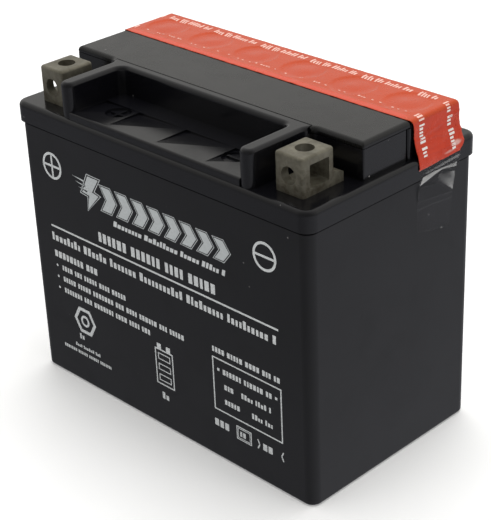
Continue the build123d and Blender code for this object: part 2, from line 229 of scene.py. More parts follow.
case_mat = plastic("case plastic", (0.0046, 0.0046, 0.0054), 0.34, 0.5, 0.000003, 0.35, seam=case_hi[2] * MM)
lid_mat = plastic("lid plastic", (0.0040, 0.0040, 0.0052), 0.20, 0.5, 0.0000012, 0.8)
cover_mat = plastic("cover plastic", (0.0046, 0.0046, 0.0048), 0.26, 0.5, 0.0000012, 0.5)


def seal_material():
    m = Mat("red seal film", (0.50, 0.034, 0.010), 0.24, Specular_IOR_Level=0.36)
    cloud = m.noise(90, 4, 0.6)
    red = m.mix(m.ramp(cloud, 0.3, 0.72), (0.455, 0.030, 0.008), (0.53, 0.040, 0.012))
    # painted light: laid flat on the deck the film is tinted warmer than on the ends, standing in for the light that
    # falls on its flat top
    flat = m.ramp(xyz(m)[2], 0.1262, 0.1278)
    red = m.mix(m.math("MULTIPLY", flat, 0.75), red, (0.47, 0.060, 0.012))
    # where the film isn't stuck down it looks paler
    red = m.mix(m.attr("loose"), red, (0.57, 0.070, 0.034))
    # painted shade: where it lies over an open port it is darker, standing in for the shade in the port below
    red = m.mix(m.math("MULTIPLY", m.attr("shade_over_port"), 0.3), red, (0.46, 0.050, 0.016))
    mottled = m.noise(700, 5, 0.7)
    scuff = m.ramp(m.math("MULTIPLY", m.attr("scuff"), m.math("ADD", mottled, 0.45)), 0.12, 0.95, 0.0, 0.8)
    m.color(m.mix(scuff, red, (0.66, 0.44, 0.40)))
    m.rough(m.ramp(m.noise(240, 4, 0.6), 0.3, 0.8, 0.2, 0.36))
    m.bump((m.noise(900, 3, 0.55), 0.000012), (m.noise(150, 3, 0.5), 0.00005))
    return m.mat


def film_material():
    m = Mat("clear film", (0.82, 0.83, 0.83), 0.16, Specular_IOR_Level=0.5)
    # painted light on the film: the first mask holds painted glints and sheen drawn as white streaks, along with the
    # white torn band and the bubbles; the second holds painted dark reflections
    glint_and_white_mask, dark = m.attr("glint_and_white_mask"), m.attr("dark")
    glare_streak = m.noise(420, 4, 0.6, co=m.stretched(1, 0.35, 2.4))
    h = m.math("MULTIPLY", glint_and_white_mask, m.math("ADD", m.math("MULTIPLY", glare_streak, 0.5), 0.75))
    m.color(m.mix(h, m.mix(dark, (0.10, 0.10, 0.11), (0.006, 0.006, 0.007)), (0.80, 0.80, 0.79)))
    alpha = m.math("ADD", m.math("MULTIPLY", h, 0.72), m.math("ADD", m.math("MULTIPLY", dark, 0.42), 0.045))
    # the side stuck to the case adds nothing to what is seen through the film
    alpha = m.math("MULTIPLY", alpha, m.math("SUBTRACT", 1.0, m.attr("under")))
    m.link(alpha, m.b.inputs["Alpha"])
    m.rough(m.ramp(m.noise(300, 3, 0.5), 0.3, 0.8, 0.12, 0.24))
    m.bump((m.noise(500, 3, 0.5), 0.00002))
    m.mat.blend_method = "BLEND"
    return m.mat


def terminal_material():
    m = Mat("terminal lead", (0.13, 0.12, 0.092), 0.46, Metallic=0.5, Specular_IOR_Level=0.5)
    z = xyz(m)[2]
    cloud = m.noise(210, 5, 0.62, distortion=0.4)
    grey = m.mix(m.ramp(cloud, 0.28, 0.74), (0.116, 0.108, 0.081), (0.212, 0.199, 0.154))
    # brown tarnish, stronger near the foot
    low = m.ramp(z, 0.1155, 0.1275, 1.0, 0.0)
    stain = m.math("MULTIPLY", m.ramp(m.noise(330, 5, 0.65), 0.42, 0.66), m.math("ADD", m.math("MULTIPLY", low, 0.62), 0.16))
    grey = m.mix(stain, grey, (0.062, 0.047, 0.028))
    pits = m.ramp(m.voronoi(1300), 0.22, 0.02)
    pick = m.ramp(m.noise(600, 2), 0.54, 0.66)
    pits = m.math("MULTIPLY", pits, pick)
    m.color(m.mix(m.math("MULTIPLY", pits, 0.7), grey, (0.05, 0.047, 0.04)))
    m.rough(m.ramp(m.noise(420, 4, 0.6), 0.3, 0.75, 0.36, 0.62))
    scratch = m.noise(900, 2, 0.5, co=m.stretched(0.12, 1, 1))
    m.bump((m.noise(1500, 3, 0.6), 0.00002), (m.noise(260, 4, 0.6), 0.00007), (scratch, 0.000012), (m.math("SUBTRACT", 1.0, pits), 0.00005))
    return m.mat


def lead_material():
    m = Mat("cast lead", (0.3, 0.31, 0.33), 0.42, Metallic=0.7)
    c = m.noise(160, 5, 0.6, distortion=0.5)
    m.color(m.mix(m.ramp(c, 0.3, 0.72), (0.2, 0.205, 0.22), (0.4, 0.41, 0.43)))
    m.rough(m.ramp(m.noise(300, 4), 0.3, 0.75, 0.34, 0.6))
    m.bump((m.noise(700, 4, 0.6), 0.00004), (m.noise(90, 3), 0.00012))
    return m.mat


def plate_material(name, base, light, rough):
    m = Mat(name, base, rough, Specular_IOR_Level=0.3)
    c = m.noise(420, 6, 0.7)
    tone = m.mix(m.ramp(c, 0.3, 0.75), base, light)
    wires = m.node("ShaderNodeTexWave", wave_type="BANDS", bands_direction="Z")
    wires.inputs["Scale"].default_value = 32
    wires.inputs["Distortion"].default_value = 0.4
    m.link(m.co, wires.inputs["Vector"])
    grid = m.ramp(wires.outputs["Fac"], 0.86, 0.97)
    tone = m.mix(m.math("MULTIPLY", grid, 0.45), tone, tuple(min(1, x * 1.8) for x in light))
    m.color(tone)
    m.rough(m.ramp(m.noise(800, 4), 0.3, 0.7, rough * 0.9, min(1.0, rough * 1.1)))
    m.bump((c, 0.00006), (grid, 0.00006))
    return m.mat


def mat_material():
    m = Mat("glass mat", (0.78, 0.78, 0.76), 0.9, Specular_IOR_Level=0.2, Sheen_Weight=0.25, Sheen_Roughness=0.6)
    fibre = m.noise(1400, 5, 0.75, co=m.stretched(1, 0.2, 1.6), distortion=1.2)
    cross = m.noise(1400, 5, 0.75, co=m.stretched(1, 1.6, 0.2), distortion=1.2)
    both = m.math("MAXIMUM", fibre, cross)
    m.color(m.mix(m.ramp(both, 0.4, 0.8), (0.62, 0.62, 0.6), (0.86, 0.86, 0.84)))
    m.bump((both, 0.00012))
    return m.mat


def rubber_material():
    m = Mat("black rubber", (0.022, 0.022, 0.021), 0.62, Specular_IOR_Level=0.4)
    c = m.noise(300, 4, 0.6)
    m.color(m.mix(m.ramp(c, 0.3, 0.7), (0.017, 0.017, 0.016), (0.032, 0.031, 0.03)))
    m.rough(m.ramp(m.noise(500, 3), 0.3, 0.7, 0.5, 0.75))
    m.bump((m.noise(1500, 3), 0.00001), (m.noise(200, 2), 0.00004))
    return m.mat


def resin_material():
    m = Mat("sealing resin", (0.02, 0.035, 0.09), 0.22, Coat_Weight=0.4, Coat_Roughness=0.08)
    c = m.noise(120, 4, 0.6, distortion=0.8)
    m.color(m.mix(m.ramp(c, 0.3, 0.7), (0.014, 0.025, 0.07), (0.035, 0.055, 0.12)))
    m.rough(m.ramp(m.noise(350, 3), 0.3, 0.7, 0.15, 0.32))
    m.bump((m.noise(160, 2), 0.00015), (m.voronoi(600), 0.00002))
    return m.mat


def porous_material():
    m = Mat("porous disc", (0.72, 0.71, 0.67), 0.95, Specular_IOR_Level=0.15)
    v = m.voronoi(4200)
    m.color(m.mix(m.ramp(v, 0.1, 0.55), (0.45, 0.44, 0.41), (0.8, 0.79, 0.75)))
    m.bump((v, 0.00008))
    return m.mat


def ink_material(name, base, worn, flat=None):
    m = Mat(name, base, 0.5, Specular_IOR_Level=0.35)
    fade = m.noise(1100, 4, 0.7)
    patch = m.noise(60, 3, 0.5)
    tone = m.mix(m.ramp(fade, 0.25, 0.8), tuple(c * worn for c in base), base)
    tone = m.mix(m.ramp(patch, 0.35, 0.75, 0.0, 0.35), tone, tuple(c * 0.8 for c in base))
    if flat:
        tone = m.mix(m.ramp(xyz(m)[2], 0.1262, 0.1278), tone, flat)
    m.color(tone)
    m.rough(m.ramp(m.noise(700, 3), 0.3, 0.7, 0.42, 0.6))
    m.bump((fade, 0.000006))
    return m.mat


seal_mat = seal_material()
film_mat = film_material()
terminal_mat = terminal_material()
lead_mat = lead_material()
pos_mat = plate_material("positive paste", (0.05, 0.024, 0.014), (0.12, 0.06, 0.034), 0.85)
neg_mat = plate_material("negative paste", (0.15, 0.155, 0.165), (0.27, 0.275, 0.285), 0.78)
mat_mat = mat_material()
rubber_mat = rubber_material()
resin_mat = resin_material()
porous_mat = porous_material()
ink_mat = ink_material("case ink", (0.62, 0.64, 0.65), 0.82)
seal_ink_mat = ink_material("seal ink", (0.86, 0.80, 0.77), 0.84, (0.80, 0.50, 0.43))
logo_mat = ink_material("case ink grey", (0.50, 0.53, 0.54), 0.86)


def dress(name, mat):
    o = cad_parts[name]
    o.data.materials.clear()
    o.data.materials.append(mat)


dress("container", case_mat)
dress("lid", lid_mat)
dress("vent_cover", cover_mat)
dress("flame_arrestor", porous_mat)
dress("intercell_welds", lead_mat)
for s in ("positive", "negative"):
    dress(f"{s}_terminal", terminal_mat)
    dress(f"{s}_o_ring", rubber_mat)
    dress(f"{s}_resin_seal", resin_mat)
for i in range(1, 7):
    dress(f"relief_valve_cap_{i}", rubber_mat)
    dress(f"cell_{i}_positive_plates", pos_mat)
    dress(f"cell_{i}_negative_plates", neg_mat)
    dress(f"cell_{i}_separators", mat_mat)
    dress(f"cell_{i}_positive_strap", lead_mat)
    dress(f"cell_{i}_negative_strap", lead_mat)
dress("tear_off_seal", seal_mat)
dress("clear_tape_left", film_mat)
dress("clear_tape_right", film_mat)


# ------------------------------------------------------------------ mesh helpers
def new_mesh(name, verts, faces, mats, smooth=False):
    me = bpy.data.meshes.new(name)
    me.from_pydata([tuple(c * MM for c in v) for v in verts], [], faces)
    me.validate()
    o = bpy.data.objects.new(name, me)
    scene.collection.objects.link(o)
    for m in mats:
        me.materials.append(m)
    if smooth:
        me.polygons.foreach_set("use_smooth", [True] * len(me.polygons))
    return o


def fbm(x, y, z=0.0, octaves=3):
    total, amp, f = 0.0, 1.0, 1.0
    for _ in range(octaves):
        total += amp * noise.noise(Vector((x * f, y * f, z * f)))
        amp *= 0.5
        f *= 2.03
    return total


def smooth01(x):
    x = max(0.0, min(1.0, x))
    return x * x * (3 - 2 * x)


# ------------------------------------------------------------------ front print: flat ink on the container's front wall
INK_T = 0.05


class Ink:
    """Flat closed pieces of ink on the plane y = FRONT_Y, drawn in x and z."""

    def __init__(self, y0):
        self.v, self.f, self.mi = [], [], []
        self.y0 = y0

    def prism(self, pts, mi=0):
        n, k = len(pts), len(self.v)
        self.v += [(x, self.y0, z) for x, z in pts] + [(x, self.y0 - INK_T, z) for x, z in pts]
        area = sum(pts[i][0] * pts[(i + 1) % n][1] - pts[(i + 1) % n][0] * pts[i][1] for i in range(n))
        order = list(range(n)) if area > 0 else list(range(n - 1, -1, -1))
        self.f.append([k + n + i for i in order])
        self.f.append([k + i for i in reversed(order)])
        for a, b in zip(order, order[1:] + order[:1]):
            self.f.append([k + a, k + b, k + n + b, k + n + a])
        self.mi += [mi] * (n + 2)

    def rect(self, x0, x1, z0, z1, slant=0.0, mi=0):
        self.prism([(x0, z0), (x1, z0), (x1 + slant * (z1 - z0), z1), (x0 + slant * (z1 - z0), z1)], mi)

    def line(self, a, b, w, mi=0):
        dx, dz = b[0] - a[0], b[1] - a[1]
        d = math.hypot(dx, dz)
        nx, nz = -dz / d * w / 2, dx / d * w / 2
        self.prism([(a[0] + nx, a[1] + nz), (b[0] + nx, b[1] + nz), (b[0] - nx, b[1] - nz), (a[0] - nx, a[1] - nz)], mi)

    def band(self, outer, inner, mi=0):
        """Closed band between two outlines with the same number of points, both anticlockwise."""
        n, k = len(outer), len(self.v)
        for y in (self.y0, self.y0 - INK_T):
            self.v += [(x, y, z) for x, z in outer] + [(x, y, z) for x, z in inner]
        for i in range(n):
            j = (i + 1) % n
            self.f.append([k + 2 * n + i, k + 2 * n + j, k + 3 * n + j, k + 3 * n + i])
            self.f.append([k + i, k + n + i, k + n + j, k + j])
            self.f.append([k + i, k + j, k + 2 * n + j, k + 2 * n + i])
            self.f.append([k + n + j, k + n + i, k + 3 * n + i, k + 3 * n + j])
        self.mi += [mi] * (4 * n)

    def ring(self, cx, cz, r0, r1, n=56, mi=0):
        o = [(cx + r1 * math.cos(2 * math.pi * i / n), cz + r1 * math.sin(2 * math.pi * i / n)) for i in range(n)]
        q = [(cx + r0 * math.cos(2 * math.pi * i / n), cz + r0 * math.sin(2 * math.pi * i / n)) for i in range(n)]
        self.band(o, q, mi)

    def frame(self, x0, x1, z0, z1, w, mi=0):
        self.band([(x0, z0), (x1, z0), (x1, z1), (x0, z1)], [(x0 + w, z0 + w), (x1 - w, z0 + w), (x1 - w, z1 - w), (x0 + w, z1 - w)], mi)

    def words(self, x0, x1, zc, h, seed, weight=0.62, slant=0.0, lengths=(3, 9), caps=False, mi=0):
        """A greeked line: plain blocks in groups the size of words, with no letter shapes."""
        r = random.Random(seed)
        x = x0
        base = zc - h / 2
        while x < x1 - h * 0.3:
            for k in range(r.randint(*lengths)):
                w = h * weight * r.uniform(0.55, 0.95)
                if x + w > x1:
                    break
                top = h * 0.9 if caps else h * (0.95 if (k == 0 or r.random() < 0.2) else 0.68)
                self.rect(x, x + w, base + 0.04 * h, base + top, slant, mi)
                x += w + h * 0.2
            x += h * 0.42

    def build(self, name, mats):
        o = new_mesh(name, self.v, self.f, mats)
        o.data.polygons.foreach_set("material_index", self.mi)
        return o


Y0 = FRONT_Y + 0.008
marks = Ink(Y0)
# polarity marks: a plus and a minus in a ring
for cx, plus in ((-56.9, True), (54.2, False)):
    cz = 92.3
    marks.ring(cx, cz, 4.45, 5.45)
    marks.rect(cx - 4.5, cx + 4.5, cz - 0.45, cz + 0.45)
    if plus:
        marks.rect(cx - 0.45, cx + 0.45, cz + 0.45, cz + 4.5)
        marks.rect(cx - 0.45, cx + 0.45, cz - 4.5, cz - 0.45)
marks.rect(-61.3, 59.5, 66.0, 66.75)
marks_o = marks.build("polarity_marks_and_rule", [ink_mat])
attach(marks_o, "battery")

emblem = Ink(Y0)
# plain emblem: a spark and a row of slanted bars with an outline of their own
def offset_band(ink, pts, gap, w, mi):
    n = len(pts)

    def shifted(d):
        out = []
        for i in range(n):
            p, a, b = pts[i], pts[i - 1], pts[(i + 1) % n]
            e1 = Vector((p[0] - a[0], p[1] - a[1])).normalized()
            e2 = Vector((b[0] - p[0], b[1] - p[1])).normalized()
            n1, n2 = Vector((e1.y, -e1.x)), Vector((e2.y, -e2.x))
            m = n1 + n2
            m = m / max(m.length_squared / 2, 0.55)
            out.append((p[0] + m.x * d, p[1] + m.y * d))
        return out

    ink.band(shifted(gap + w), shifted(gap), mi)


spark = [(-37.2, 80.4), (-30.6, 87.6), (-34.2, 88.3), (-30.2, 94.2), (-36.2, 94.2), (-39.9, 86.9), (-36.0, 86.4)]
emblem.prism(spark)
offset_band(emblem, spark, 0.55, 0.35, 0)
# a row of bold chevrons, shrinking to the right
x = -29.0
for k in range(8):
    h = 9.6 - 0.28 * k
    t, d = 5.0 - 0.1 * k, 3.0
    z0 = 87.6 - h / 2
    p = [(x, z0), (x + t, z0), (x + t + d, z0 + h / 2), (x + t, z0 + h), (x, z0 + h), (x + d, z0 + h / 2)]
    emblem.prism(p)
    offset_band(emblem, p, 0.42, 0.26, 0)
    x += t + 3.75
for k in range(3):
    emblem.prism([(-45.2 + 1.6 * k, 92.2 - 1.9 * k), (-38.6 + 0.9 * k, 91.9 - 1.9 * k), (-38.9 + 0.9 * k, 91.2 - 1.9 * k)])
emblem_o = emblem.build("front_emblem", [logo_mat])
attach(emblem_o, "battery")

text = Ink(Y0)
text.words(-23.4, 36.8, 79.2, 2.5, 11, weight=0.78, slant=0.22, lengths=(5, 9))
text.words(-32.7, 31.4, 70.9, 4.6, 12, weight=0.52, caps=True, lengths=(3, 6))
text.words(-61.3, 59.4, 61.9, 3.7, 13, weight=0.5, lengths=(6, 11))
text.words(-60.8, -34.6, 54.6, 3.2, 14, weight=0.66, caps=True, lengths=(8, 8))
for k, (x1, zc, seed) in enumerate(((-19.1, 49.2, 15), (14.1, 44.3, 16), (-7.3, 39.4, 17))):
    text.ring(-60.1, zc + 0.1, 0.05, 0.55, 12)
    text.words(-57.0, x1, zc, 2.5, seed, weight=0.6, caps=True, lengths=(3, 7))
text.words(-50.2, -45.6, 21.4, 2.6, 18, weight=0.6, lengths=(2, 2))
text.words(-53.4, -38.3, 16.6, 1.6, 19, weight=0.6, lengths=(4, 8))
text.words(-60.8, -30.9, 13.5, 1.6, 20, weight=0.6, caps=True, lengths=(2, 7))
text.words(-2.6, 4.0, 14.3, 3.2, 21, weight=0.62, lengths=(2, 2))
text.words(26.3, 60.0, 46.4, 2.5, 22, weight=0.6, caps=True, lengths=(3, 7))
text.frame(26.0, 60.1, 20.9, 43.2, 0.55)
text.rect(28.4, 29.5, 37.9, 39.0)
text.rect(56.9, 58.0, 37.9, 39.0)
text.words(31.2, 55.4, 38.4, 2.5, 23, weight=0.6, caps=True, lengths=(6, 6))
text.words(31.6, 37.2, 32.2, 2.4, 24, weight=0.6, caps=True, lengths=(3, 3))
text.words(40.2, 56.2, 32.2, 2.4, 25, weight=0.5, lengths=(3, 5))
text.words(31.6, 40.2, 26.0, 2.4, 26, weight=0.6, caps=True, lengths=(5, 5))
text.words(45.2, 56.2, 26.0, 2.4, 27, weight=0.5, lengths=(3, 4))
text.words(25.8, 35.0, 15.4, 3.4, 28, weight=0.7, caps=True, lengths=(3, 3))
text.frame(36.9, 44.5, 12.7, 18.4, 0.4)
text.frame(37.6, 43.8, 13.4, 17.7, 0.28)
text.words(38.7, 43.2, 15.5, 2.4, 29, weight=0.62, caps=True, lengths=(2, 2))
for x, d in ((47.6, 1), (60.2, -1)):
    text.line((x, 17.2), (x + d * 0.9, 15.3), 0.55)
    text.line((x + d * 0.9, 15.3), (x, 13.4), 0.55)
text.words(50.2, 57.4, 15.3, 3.2, 30, weight=0.78, caps=True, lengths=(2, 2))
text_o = text.build("front_fine_print", [ink_mat])
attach(text_o, "battery")

icons = Ink(Y0)
# plain pictograms: a hexagon with a ring in it, and the outline of a cell with three level bars
icons.ring(-46.0, 29.2, 4.9, 6.5, 6)
icons.ring(-46.0, 29.2, 1.5, 2.5, 24)
icons.frame(-5.2, 4.6, 18.8, 34.4, 0.55)
icons.rect(-3.9, -1.7, 34.4, 36.6)
icons.rect(1.1, 3.3, 34.4, 36.6)
for z in (20.6, 25.2, 29.8):
    icons.frame(-3.6, 3.0, z, z + 2.8, 0.4)
icons_o = icons.build("front_pictograms", [ink_mat])
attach(icons_o, "battery")

# ------------------------------------------------------------------ tear-off seal: one film over the ports, folded down over both ends
MID = [(75.29, 110.25), (75.29, 113.1), (74.4, 115.6), (73.4, 118.4), (72.74, 120.5), (72.60, 123.4), (72.54, 126.4), (72.46, 127.2), (72.03, 127.9), (71.3, 128.16), (69.5, 128.17)]
HALF_T = 0.07


def rounded(points, times=3):
    pts = list(points)
    for _ in range(times):
        out = [pts[0]]
        for a, b in zip(pts, pts[1:]):
            out.append((a[0] * 0.75 + b[0] * 0.25, a[1] * 0.75 + b[1] * 0.25))
            out.append((a[0] * 0.25 + b[0] * 0.75, a[1] * 0.25 + b[1] * 0.75))
        out.append(pts[-1])
        pts = out
    return pts


half = [(0.0, 128.17)] + list(reversed(rounded(MID, 3)))
cum = [0.0]
for a, b in zip(half, half[1:]):
    cum.append(cum[-1] + math.hypot(b[0] - a[0], b[1] - a[1]))
S_HALF = cum[-1]
S_DECK = 70.4  # where the fold at the deck's end begins


def on_path(s):
    """Point and outward normal of the film's middle, at signed length s from the centre."""
    side = 1 if s >= 0 else -1
    t = min(abs(s), S_HALF - 1e-6)
    lo, hi = 0, len(cum) - 1
    while hi - lo > 1:
        mid = (lo + hi) // 2
        if cum[mid] <= t:
            lo = mid
        else:
            hi = mid
    k = (t - cum[lo]) / (cum[lo + 1] - cum[lo])
    (ax, az), (bx, bz) = half[lo], half[lo + 1]
    dx, dz = bx - ax, bz - az
    d = math.hypot(dx, dz)
    extra = abs(s) - t
    return side * (ax + dx * k + dx / d * extra), az + dz * k + dz / d * extra, side * (-dz / d), dx / d


def seal_edges(s):
    """Front and rear edge (y) of the film at length s."""
    a = abs(s)
    side = 1 if s >= 0 else -1
    flap = smooth01((a - S_DECK) / 4.0)
    low = smooth01((a - (S_HALF - 4.5)) / 4.5)
    y0 = 9.85 + 1.2 * flap + 0.10 * fbm(s * 0.35, 3.1) + 0.25 * low * fbm(s * 0.9, 7.0)
    y1 = 34.4 + 0.75 * flap - 2.4 * low ** 2 + 0.08 * fbm(s * 0.3, 9.4)
    return y0, y1


def seal_height(s, y):
    """How far the film stands off its middle surface, and the masks: loose, painted shade over a port, scuffed."""
    a = abs(s)
    h, port_shade_mask, loose, scuff = 0.0, 0.0, 0.0, 0.0
    x = on_path(s)[0]
    if a < S_DECK + 1:
        for px, py in PORTS:
            r = math.hypot(x - px, y - py)
            if r < 9.6:
                wob = 0.16 * noise.noise(Vector((x * 0.23, y * 0.23, px)))
                ring = smooth01((9.3 - r + wob) / 2.3)
                dome = 1 - smooth01(r / 6.6)
                h -= ring * (0.42 - 0.26 * dome)
                # narrow raised line where the film is heat-sealed to the rim
                h += 0.05 * math.exp(-((r - 8.75 - wob) / 0.5) ** 2)
                h += 0.07 * math.exp(-((r - 6.9) / 0.5) ** 2)
                # mask of the painted shade over the open port
                port_shade_mask = max(port_shade_mask, smooth01((7.4 - r) / 1.2))
        deck = 1 - smooth01((a - S_DECK + 3) / 3.0)
        # crease along the front margin, which isn't stuck down
        edge = y - 12.9 - 0.12 * fbm(s * 0.12, 1.7)
        h += deck * 0.13 * math.exp(-(edge / 0.28) ** 2)
        loose = deck * smooth01((-edge) / 0.35)
        h += deck * 0.09 * loose * (0.6 + fbm(s * 0.25, 5.0))
        h += deck * 0.022 * fbm(x * 0.30, y * 0.30, 4.0)
        h -= deck * 0.10 * math.exp(-((y - 9.8) / 0.6) ** 2)
        # shallow pulls between the ports, and the rear margin
        h += deck * 0.03 * math.sin(x * 0.52 + 0.6 * math.sin(y * 0.35)) * smooth01((y - 14) / 4) * smooth01((34 - y) / 3)
    flap = smooth01((a - S_DECK - 2.0) / 3.0)
    if flap > 0:
        t = a - S_DECK
        side = 1 if s >= 0 else -1
        q = t + 0.32 * (y - 22) * side * 0 + 0.28 * (y - 22)
        # slanting creases that the hand-pressed end has
        for c, w, amp, slope, seed in ((7.6, 0.45, 0.20, -0.20, 1.0), (10.4, 0.5, 0.24, 0.12, 2.0), (13.2, 0.4, 0.22, -0.08, 3.0), (15.4, 0.35, 0.18, 0.05, 4.0)):
            d = t - c - slope * (y - 22.0) - 0.5 * fbm(y * 0.16, seed * 3.3 + side)
            h += flap * amp * math.exp(-(d / w) ** 2) * (0.5 + 0.5 * smooth01(0.5 + fbm(y * 0.2, seed + 20 * side)))
        h += flap * 0.10 * fbm(t * 0.42, y * 0.22, side * 5.0)
        # upright ripples at the two side edges
        h += flap * 0.10 * math.exp(-((y - 11.6) / 0.8) ** 2) + flap * 0.14 * math.exp(-((y - 34.2) / 1.0) ** 2) * (1 + fbm(t * 0.8, 2.0))
        bottom = S_HALF - S_DECK - t
        scuff = max(0.0, 0.75 - bottom / 1.1 + 0.35 * fbm(y * 0.5, 8.0 + side))
        blob = math.hypot((y - 31.0) / 3.4, (bottom - 4.1) / 1.25)
        scuff = max(scuff, 0.85 * (1 - smooth01((blob - 0.35) / 0.9)))
        blob = math.hypot((y - 27.0) / 4.0, (bottom - 2.2) / 0.7)
        scuff = max(scuff, 0.6 * (1 - smooth01((blob - 0.3) / 0.9)))
        loose = max(loose, flap * 0.16 * (1 + fbm(t * 0.3, y * 0.2, 11.0)))
    return h, loose, port_shade_mask, scuff


def seal_point(s, y, lift):
    x, z, nx, nz = on_path(s)
    h = seal_height(s, y)[0] + lift
    return (x + nx * h, y, z + nz * h)


def rag(v, side):
    """How much shorter the flap is than its full length, at share v of its width."""
    r = 0.16 * fbm(v * 9.0, 4.0 + side) + 0.10 * fbm(v * 31.0, 1.0 + side)
    return max(0.0, 0.28 + r + 0.5 * v)


def build_seal():
    stations = []
    s = 0.0
    while s < S_HALF:
        stations.append(s)
        s += 0.62 if s < S_DECK - 1.5 else 0.30
    stations.append(S_HALF)
    stations = [-q for q in reversed(stations[1:])] + stations
    nv = 58
    verts, masks = [], []
    for q in stations:
        side = 1 if q >= 0 else -1
        y0, y1 = seal_edges(q)
        w = smooth01((abs(q) - (S_HALF - 5.0)) / 5.0)
        for j in range(nv + 1):
            v = j / nv
            y = y0 + (y1 - y0) * v
            s_here = q - side * w * rag(v, side)
            x, z, nx, nz = on_path(s_here)
            h, loose, port_shade_mask, scuff = seal_height(s_here, y)
            verts.append((x + nx * (h + HALF_T), y, z + nz * (h + HALF_T)))
            masks.append((loose, port_shade_mask, scuff))
    ns = len(stations)
    top = len(verts)
    for i, q in enumerate(stations):
        side = 1 if q >= 0 else -1
        y0, y1 = seal_edges(q)
        w = smooth01((abs(q) - (S_HALF - 5.0)) / 5.0)
        for j in range(nv + 1):
            v = j / nv
            y = y0 + (y1 - y0) * v
            s_here = q - side * w * rag(v, side)
            x, z, nx, nz = on_path(s_here)
            h = seal_height(s_here, y)[0]
            verts.append((x + nx * (h - HALF_T), y, z + nz * (h - HALF_T)))
            masks.append(masks[i * (nv + 1) + j])
    faces = []
    k = nv + 1
    for i in range(ns - 1):
        for j in range(nv):
            a, b, c, d = i * k + j, (i + 1) * k + j, (i + 1) * k + j + 1, i * k + j + 1
            faces.append((a, b, c, d))
            faces.append((top + d, top + c, top + b, top + a))
    for i in range(ns - 1):
        a, b = i * k, (i + 1) * k
        faces.append((a, top + a, top + b, b))
        a, b = i * k + nv, (i + 1) * k + nv
        faces.append((b, top + b, top + a, a))
    for j in range(nv):
        faces.append((j + 1, top + j + 1, top + j, j))
        a = (ns - 1) * k + j
        faces.append((a, top + a, top + a + 1, a + 1))
    o = new_mesh("seal_film", verts, faces, [seal_mat], smooth=True)
    me = o.data
    for n, col in (("loose", 0), ("shade_over_port", 1), ("scuff", 2)):
        at = me.attributes.new(n, "FLOAT", "POINT")
        at.data.foreach_set("value", [m[col] for m in masks])
    return o


seal_o = build_seal()
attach(seal_o, "seal")
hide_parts("tear_off_seal")


def film_tick(verts, faces, a, b, y_lo, y_hi, step):
    """One closed tick of ink on the film, following its surface."""
    cols, rows = 1, 5
    idx = len(verts)
    for lift in (HALF_T + 0.06, HALF_T - 0.01):
        for p in range(cols + 1):
            for q in range(rows + 1):
                verts.append(seal_point(a + (b - a) * p / cols, y_lo + (y_hi - y_lo) * q / rows, lift))
    m = rows + 1
    t2 = (cols + 1) * m
    up = step > 0
    for p in range(cols):
        for q in range(rows):
            f = (idx + p * m + q, idx + (p + 1) * m + q, idx + (p + 1) * m + q + 1, idx + p * m + q + 1)
            g = tuple(t2 + x for x in reversed(f))
            faces.append(f if up else tuple(reversed(f)))
            faces.append(g if up else tuple(reversed(g)))
    for p in range(cols):
        for e in (0, rows):
            f = (idx + p * m + e, idx + t2 + p * m + e, idx + t2 + (p + 1) * m + e, idx + (p + 1) * m + e)
            faces.append(f if (e == 0) == up else tuple(reversed(f)))
    for q in range(rows):
        for e in (0, cols):
            f = (idx + e * m + q, idx + e * m + q + 1, idx + t2 + e * m + q + 1, idx + t2 + e * m + q)
            faces.append(f if (e == 0) == up else tuple(reversed(f)))


def film_words(verts, faces, s0, s1, yc, h, seed, lengths, worn=0.0):
    """Greeked words on the film: blocks that follow its surface, running along s."""
    r = random.Random(seed)
    s = s0
    step = 1 if s1 > s0 else -1
    base = yc - h / 2
    while (s1 - s) * step > h * 0.4:
        for n in lengths:
            for k in range(n):
                w = 1.02 * r.uniform(0.8, 1.15)
                if (s1 - s - step * w) * step < 0:
                    return
                tall = 0.92 if (k == 0 or r.random() < 0.25) else 0.62
                if r.random() >= worn:
                    film_tick(verts, faces, s, s + step * w * 0.74, base, base + h * tall, step)
                s += step * (w + 0.24)
            s += step * 0.9
        s += step * 1.7


sv, sf = [], []
film_words(sv, sf, -67.6, 67.2, 31.2, 3.1, 41, (4, 3, 6, 3))
film_words(sv, sf, -66.6, 67.0, 16.0, 0.75, 42, (4, 3, 6, 3), 0.45)
film_words(sv, sf, S_DECK - 0.4, S_HALF - 0.6, 15.3, 2.9, 44, (3, 6, 3))
film_words(sv, sf, S_DECK + 0.2, S_HALF - 1.6, 30.0, 2.9, 45, (4, 3, 6))
film_words(sv, sf, -S_DECK + 0.4, -S_HALF + 0.6, 15.3, 2.9, 46, (3, 6, 3))
film_words(sv, sf, -S_DECK - 0.2, -S_HALF + 1.6, 30.0, 2.9, 47, (4, 3, 6))
seal_print = new_mesh("seal_print_rows", sv, sf, [seal_ink_mat])
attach(seal_print, "seal")


# ------------------------------------------------------------------ clear film below each end of the seal
def near_line(p, a, b):
    ax, az = a
    bx, bz = b
    d = (bx - ax) ** 2 + (bz - az) ** 2
    k = max(0.0, min(1.0, ((p[0] - ax) * (bx - ax) + (p[1] - az) * (bz - az)) / d))
    return math.hypot(p[0] - ax - (bx - ax) * k, p[1] - az - (bz - az) * k), k


def inside(p, pts):
    """Distance from p to the outline of a closed shape, positive inside it."""
    hit, best = False, 1e9
    for i, a in enumerate(pts):
        b = pts[(i + 1) % len(pts)]
        best = min(best, near_line(p, a, b)[0])
        if (a[1] > p[1]) != (b[1] > p[1]) and p[0] < (b[0] - a[0]) * (p[1] - a[1]) / (b[1] - a[1]) + a[0]:
            hit = not hit
    return best if hit else -best


